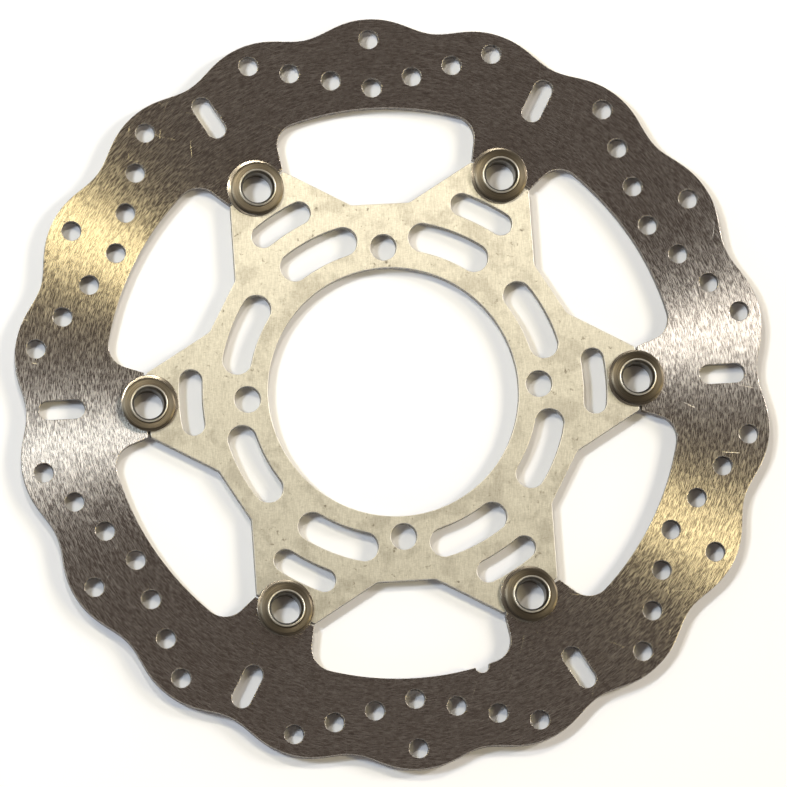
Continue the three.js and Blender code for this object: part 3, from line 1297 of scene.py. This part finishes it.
@dataclass
class Carrier(Plate):
    """The star-shaped aluminium plate that bolts to the hub."""

    name: ClassVar[str] = "brushed_carrier"
    node: ClassVar[str] = "carrier"
    body: ClassVar[str] = "carrier"
    slot: ClassVar[Slot] = Slot.CARRIER
    star_edge: StarEdge = StarEdge()
    arms: int = BUTTON_COUNT
    bore_radius: float = 44.7 * MM
    bore_points: int = 144
    bolts: int = 4
    bolt_circle_radius: float = 52.05 * MM
    bolt_hole_radius: float = 4.7 * MM
    bolt_hole_points: int = 40
    long_slot_radius: float = 56.65 * MM
    long_slot_half_width: float = 5.25 * MM
    long_slot_half_angle: float = math.radians(9.85)
    long_slot_angle: float = math.radians(24.55)  # to either side of a bolt hole
    short_slot_radius: float = 72.15 * MM
    short_slot_half_width: float = 4.15 * MM
    short_slot_half_angle: float = math.radians(6.1)
    edge_round: float = 0.22 * MM

    def edge(self) -> Outline:
        """The star-shaped outer edge."""
        return self.star_edge.outline()

    def outlines(self, make: GroupMaker, edge: Value) -> list[Value]:
        """Draws the hub bore, the bolt holes and the curved slots.

        Args:
            make: The tree's maker.
            edge: The curve of the outer edge.

        Returns:
            The curves of all outlines.
        """
        given = make.given
        bore = make.use(hole_tree, {"End Radius": given("Bore Radius"), "Steps": given("Bore Points")})
        bolt = make.use(hole_tree, {
            "Middle Radius": given("Bolt Circle Radius"), "End Radius": given("Bolt Hole Radius"),
            "Steps": given("Bolt Hole Points")})
        long_slot, short_slot = (make.use(hole_tree, {
            "Middle Radius": given(f"{kind} Slot Radius"), "End Radius": given(f"{kind} Slot Half Width"),
            "Half Angle": given(f"{kind} Slot Half Angle")}) for kind in ("Long", "Short"))
        bolts, arms, angle = given("Bolts", "Arms", "Long Slot Angle")
        rows = ((bolt, bolts, 0.0), (long_slot, bolts, angle), (long_slot, bolts, angle * -1.0),
                (short_slot, arms, 0.0))
        return [edge, bore, *(make.use(around_axis_tree, {
            "Curve": curve, "Count": count, "First Angle": first}) for curve, count, first in rows)]


# ---------------------------------------------------------------------------------------------------
# Buttons
# ---------------------------------------------------------------------------------------------------


@dataclass(frozen=True)
class TurnedShape:
    """A button piece's section: corners of radius, height and rounding, counter-clockwise."""

    corners: tuple[tuple[float, float, float], ...]
    waves: int = 0
    wave_height: float = 0.0
    corner_step: float = math.radians(18)

    @property
    def mean_radius(self) -> float:
        """Radius midway between the section's inner and outer sides."""
        radii = [corner[0] for corner in self.corners]
        return (min(radii) + max(radii)) / 2

    def section(self) -> Outline:
        """The section as the turning tree takes it: out from the mean radius, and down."""
        points = reversed(rounded(self.corners, self.corner_step))
        return [Vector((point.x - self.mean_radius, -point.y)) for point in points]


@dataclass
class Button:
    """One floating button: a hollow bobbin, its plate washer and its wave spring."""

    number: int
    head_radius: float = 10.1 * MM
    head_thickness: float = 1.5 * MM
    shank_radius: float = 6.2 * MM
    bore_radius: float = 5.3 * MM
    lip_radius: float = 6.65 * MM
    lip_inner_radius: float = 6.15 * MM
    lip_depth: float = 1.6 * MM
    lip_gap: float = 0.03 * MM
    spring_thickness: float = 0.4 * MM
    spring_inner_radius: float = 7.2 * MM
    spring_outer_radius: float = 10.1 * MM
    spring_waves: int = 3
    spring_keep: float = 0.6
    washer_inner_radius: float = 6.35 * MM
    washer_outer_radius: float = 9.4 * MM
    washer_face_radius: float = 8.7 * MM
    washer_edge: float = 0.85 * MM
    fine_round: float = 0.12 * MM
    turned_points: int = 96

    @property
    def body(self) -> str:
        """Name of the body that the whole button is."""
        return f"button_{self.number}"

    def node(self, part: str) -> str:
        """Name of one of the button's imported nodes."""
        return f"{self.body}_{part}"

    def centre(self, part: str) -> Vector:
        """Middle of one of the button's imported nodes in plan, at level 0."""
        low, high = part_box(self.node(part))
        return Vector(((low[0] + high[0]) / 2, (low[1] + high[1]) / 2, 0.0))

    def bobbin_shape(self) -> TurnedShape:
        """Hollow rivet: a flat head below, a shank, and a lip rolled over the washer on top.

        Returns:
            Its shape.
        """
        bottom, top = levels(self.node("bobbin"))
        under_lip = levels(self.node("plate_washer"))[1] + self.lip_gap
        head_top = bottom + self.head_thickness
        fine = self.fine_round
        return TurnedShape((
            (self.bore_radius, bottom, 2.5 * fine),
            (self.head_radius, bottom, 2.5 * fine),
            (self.head_radius, head_top, 2 * fine),
            (self.shank_radius, head_top, fine),
            (self.shank_radius, under_lip, fine),
            (self.lip_radius, under_lip, fine),
            (self.lip_radius, top, 3 * fine),
            (self.lip_inner_radius, top, 2 * fine),
            (self.bore_radius, top - self.lip_depth, 4 * fine),
        ))

    def plate_washer_shape(self) -> TurnedShape:
        """Flat washer with a bevelled rim.

        Returns:
            Its shape.
        """
        bottom, top = levels(self.node("plate_washer"))
        return self.finely_rounded(
            (self.washer_inner_radius, bottom),
            (self.washer_outer_radius, bottom),
            (self.washer_outer_radius, bottom + self.washer_edge),
            (self.washer_face_radius, top),
            (self.washer_inner_radius, top))

    def wave_spring_shape(self) -> TurnedShape:
        """Flat ring bent into waves.

        Returns:
            Its shape.
        """
        bottom, top = levels(self.node("wave_spring"))
        crest = bottom + self.spring_thickness
        return self.finely_rounded(
            (self.spring_inner_radius, bottom),
            (self.spring_outer_radius, bottom),
            (self.spring_outer_radius, crest),
            (self.spring_inner_radius, crest),
            waves=self.spring_waves, wave_height=top - crest)

    def finely_rounded(self, *corners: tuple[float, float], **waves: float) -> TurnedShape:
        """Shape whose corners all have the fine rounding.

        Args:
            corners: Each corner as radius and height.
            waves: The shape's waves, where it has them.

        Returns:
            The shape.
        """
        return TurnedShape(tuple((*corner, self.fine_round) for corner in corners), **waves)

    def make_piece(self, part: str, shape: TurnedShape, slot: Slot,
                   material: bpy.types.Material) -> bpy.types.Object:
        """Turns one piece and hands it over.

        Args:
            part: The piece's name within the button.
            shape: Its section.
            slot: Its material slot in the record.
            material: Its finish.

        Returns:
            The finished piece.
        """
        node = self.node(part)
        piece = made_by_tree(f"turned_{node}", shared_group(turned_piece_tree), {
            "Section": outline_object(f"{node}_section", shape.section()),
            "Mean Radius": shape.mean_radius, "Steps": self.turned_points, "Waves": shape.waves,
            "Wave Height": shape.wave_height, "Centre": self.centre(part), "Material": material})
        hand_over(piece, self.body, slot, node)
        return piece

    def build(self, finishes: dict[Slot, bpy.types.Material]) -> None:
        """Makes the button's three pieces.

        Args:
            finishes: Their materials, by slot.
        """
        parts = (("bobbin", self.bobbin_shape(), Slot.BOBBIN),
                 ("plate_washer", self.plate_washer_shape(), Slot.WASHER),
                 ("wave_spring", self.wave_spring_shape(), Slot.SPRING))
        made = [self.make_piece(part, shape, slot, finishes[slot]) for part, shape, slot in parts]
        top = levels(self.node("wave_spring"))[1]
        centre = self.centre("wave_spring")
        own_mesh(made[-1])


# ---------------------------------------------------------------------------------------------------
# Studio
# ---------------------------------------------------------------------------------------------------


@dataclass(frozen=True)
class SoftLight:
    """An area light on a dome round the disc, aimed at its middle, with its angles in degrees."""

    name: str
    azimuth: float
    elevation: float
    distance: float
    width: float
    height: float
    power: float
    colour: Colour

    def build(self, spare: Sequence[bpy.types.Object] = ()) -> None:
        """Makes the light.

        Args:
            spare: Pieces that the light leaves alone.
        """
        data = bpy.data.lights.new(self.name, "AREA")
        data.shape = "RECTANGLE"
        data.size, data.size_y = self.width, self.height
        data.energy = self.power
        data.color = self.colour
        lamp = bpy.data.objects.new(self.name, data)
        azimuth, elevation = math.radians(self.azimuth), math.radians(self.elevation)
        place = Vector((*polar(math.cos(elevation), azimuth), math.sin(elevation))) * self.distance
        lamp.matrix_world = Matrix.Translation(place) @ place.to_track_quat("Z", "Y").to_matrix().to_4x4()
        bpy.context.scene.collection.objects.link(lamp)
        if spare:
            spared = bpy.data.collections.new(f"{self.name}_spares")
            lamp.light_linking.receiver_collection = spared
            for number, piece in enumerate(spare):
                spared.objects.link(piece)
                spared.collection_objects[number].light_linking.link_state = "EXCLUDE"


@dataclass
class Studio:
    """The pale floor, the soft lights and the camera."""

    focal_length: float = 366.0
    sensor: float = 36.0
    camera_tilt: float = math.radians(10.77)
    camera_azimuth: float = math.radians(-123.7)
    camera_roll: float = math.radians(-4.07)
    camera_distance: float = 2.838
    target: tuple[float, float] = (-0.10 * MM, -0.74 * MM)
    floor_half_width: float = 4.0
    floor_gap: float = 0.05 * MM
    floor_colour: Colour = (0.90, 0.90, 0.92)
    floor_roughness: tuple[float, float] = (0.7, 0.9)
    zenith: Colour = (0.125, 0.104, 0.093)
    horizon: Colour = (0.72, 0.72, 0.74)
    horizon_fade: tuple[float, float] = (0.22, 0.66)
    overhead: SoftLight = SoftLight("overhead", 110, 66, 0.69, 0.06, 0.06, 1.22, (1.0, 0.94, 0.81))
    cool_side: SoftLight = SoftLight("cool_side", 160, 57, 1.8, 0.22, 0.22, 12, (0.82, 0.90, 1.0))
    lights: tuple[SoftLight, ...] = (
        SoftLight("gold_side", -13, 44, 3.0, 0.28, 0.9, 21, (1.0, 0.85, 0.48)),
        SoftLight("gold_glint", 131, 55, 1.2, 0.08, 0.3, 2.0, (1.0, 0.88, 0.50)),
        SoftLight("pale_side", 17.5, 38, 3.0, 0.28, 0.9, 34, (1.0, 0.95, 0.90)),
        SoftLight("cool_glint", 170, 59, 1.8, 0.12, 0.3, 2.6, (0.72, 0.88, 1.0)),
    )

    def make_camera(self) -> None:
        """Places the camera."""
        data = bpy.data.cameras.new("camera")
        data.lens, data.sensor_width = self.focal_length, self.sensor
        data.clip_start, data.clip_end = 0.01, 50.0
        camera = bpy.data.objects.new("camera", data)
        back = Vector((*polar(math.sin(self.camera_tilt), self.camera_azimuth), math.cos(self.camera_tilt)))
        right = (-back).cross(Vector((0, 1, 0))).normalized()
        up = right.cross(-back)
        cos_roll, sin_roll = math.cos(self.camera_roll), math.sin(self.camera_roll)
        x_axis = right * cos_roll + up * sin_roll
        y_axis = up * cos_roll - right * sin_roll
        target = Vector((*self.target, levels("rotor_ring")[1]))
        matrix = Matrix((x_axis, y_axis, back)).transposed().to_4x4()
        matrix.translation = target + back * self.camera_distance
        camera.matrix_world = matrix
        bpy.context.scene.collection.objects.link(camera)
        bpy.context.scene.camera = camera

    def make_floor(self) -> None:
        """Lays the floor just under the button heads."""
        half = self.floor_half_width
        level = levels("button_1_bobbin")[0] - self.floor_gap
        mesh = bpy.data.meshes.new("floor")
        corners = [(-half, -half, level), (half, -half, level), (half, half, level), (-half, half, level)]
        mesh.from_pydata(corners, [], [(0, 1, 2, 3)])
        floor = bpy.data.objects.new("floor", mesh)
        bpy.context.scene.collection.objects.link(floor)
        material = bpy.data.materials.new("floor_board")
        material.use_nodes = True
        material.node_tree.nodes.clear()
        make = TreeMaker(material.node_tree)
        mottle = make.noise(make.out("ShaderNodeTexCoord", key="Object"), 90.0, detail=3.0)
        shader = make.out("ShaderNodeBsdfPrincipled", {
            "Base Color": (*self.floor_colour, 1.0),
            "Roughness": make.ramp(mottle, 0.0, 1.0, *self.floor_roughness)})
        make.node("ShaderNodeOutputMaterial", {"Surface": shader})
        mesh.materials.append(material)

    def make_world(self) -> None:
        """Sets a surround that is pale at the horizon and dim overhead."""
        world = bpy.data.worlds.new("surround")
        world.use_nodes = True
        world.node_tree.nodes.clear()
        make = TreeMaker(world.node_tree)
        up = make.separate(make.out("ShaderNodeTexCoord", key="Generated"))[2]
        colour = make.mix(make.ramp(up, *self.horizon_fade), self.horizon, self.zenith)
        make.node("ShaderNodeOutputWorld", {"Surface": make.out("ShaderNodeBackground", {"Color": colour})})
        bpy.context.scene.world = world

    def build(self) -> None:
        """Makes the studio, but for the two lights that spare the plates."""
        self.make_camera()
        self.make_floor()
        self.make_world()
        for light in self.lights:
            light.build()
        bpy.context.scene.view_settings.view_transform = "Standard"


def main() -> None:
    """Builds the studio and every piece of the disc."""
    logging.basicConfig(level=logging.INFO, format="%(name)s: %(message)s")
    studio = Studio()
    studio.build()
    ring = RotorRing().build(GroundSteel())
    carrier = Carrier().build(BrushedAluminium())
    studio.overhead.build(spare=(ring,))
    studio.cool_side.build(spare=(ring, carrier))
    finishes = {finish.slot: finish.build() for finish in TURNED_FINISHES}
    for number in range(1, BUTTON_COUNT + 1):
        Button(number).build(finishes)


if __name__ == "__main__":
    main()
